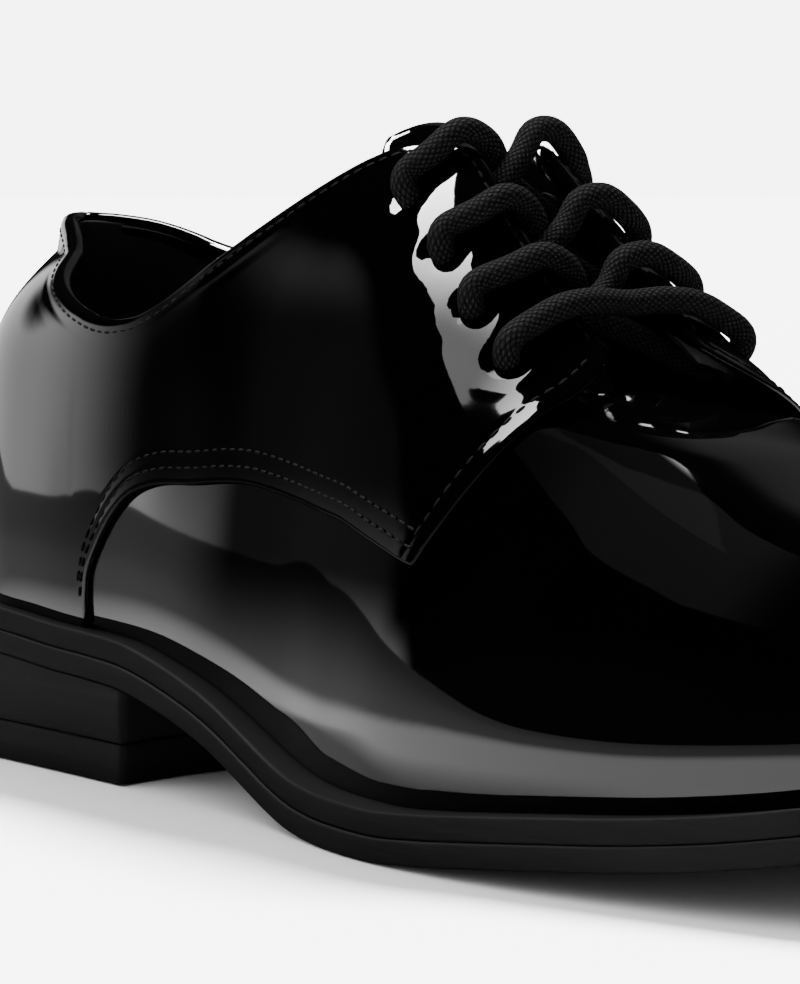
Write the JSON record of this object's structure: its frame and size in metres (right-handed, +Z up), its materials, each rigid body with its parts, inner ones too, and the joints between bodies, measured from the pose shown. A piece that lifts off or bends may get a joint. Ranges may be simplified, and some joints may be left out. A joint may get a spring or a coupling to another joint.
{
  "type": "tap shoe",
  "caption": "Black patent laced derby tap shoe, right foot, with a low stacked heel, layered sole and metal taps let in under toe and heel.",
  "frame": {"origin": "middle of the shoe's length and width, on the ground that the heel and sole stand on", "axes": "+X from heel to toe, +Y towards the inner side of this right shoe, +Z up"},
  "size_m": [0.304, 0.102, 0.1143],
  "materials": {
    "patent_leather": "gloss",
    "foam": "matte",
    "lining": "matte",
    "stiffener": "matte",
    "lace": "matte",
    "lace_tip": "gloss",
    "eyelet": "satin",
    "tape": "matte",
    "sock": "matte",
    "board": "matte",
    "cork": "matte",
    "steel": "satin",
    "midsole": "matte",
    "outsole": "matte",
    "heel": "matte",
    "top_lift": "matte",
    "tap_metal": "satin"
  },
  "bodies": {
    "shoe": {"quarter_outer_side": "patent_leather", "quarter_inner_side": "patent_leather", "vamp": "patent_leather", "lace": "lace", "lace_tips": "lace_tip", "blind_eyelets": "eyelet", "eyelet_stays": "tape", "collar_padding": "foam", "quarter_lining": "lining", "vamp_lining": "lining", "toe_puff": "stiffener", "heel_counter": "stiffener", "back_seam_tape": "tape", "sock_liner": "sock", "heel_pad": "sock", "insole_board": "board", "cork_filler": "cork", "shank": "steel", "midsole": "midsole", "outsole": "outsole", "heel_block": "heel", "top_lift": "top_lift", "heel_nails": "steel", "lift_nails": "steel", "toe_tap": "tap_metal", "toe_tap_screws": "steel", "heel_tap": "tap_metal", "heel_tap_screws": "steel"},
    "tongue": {"tongue": "patent_leather", "tongue_padding": "foam", "tongue_lining": "lining"}
  },
  "joints": [
    {"name": "tongue_hinge", "type": "hinge", "parent": "shoe", "child": "tongue", "pos_m": [0.041, 0, 0.066], "axis": [0, -1, 0], "range_deg": [0, 12]}
  ]
}
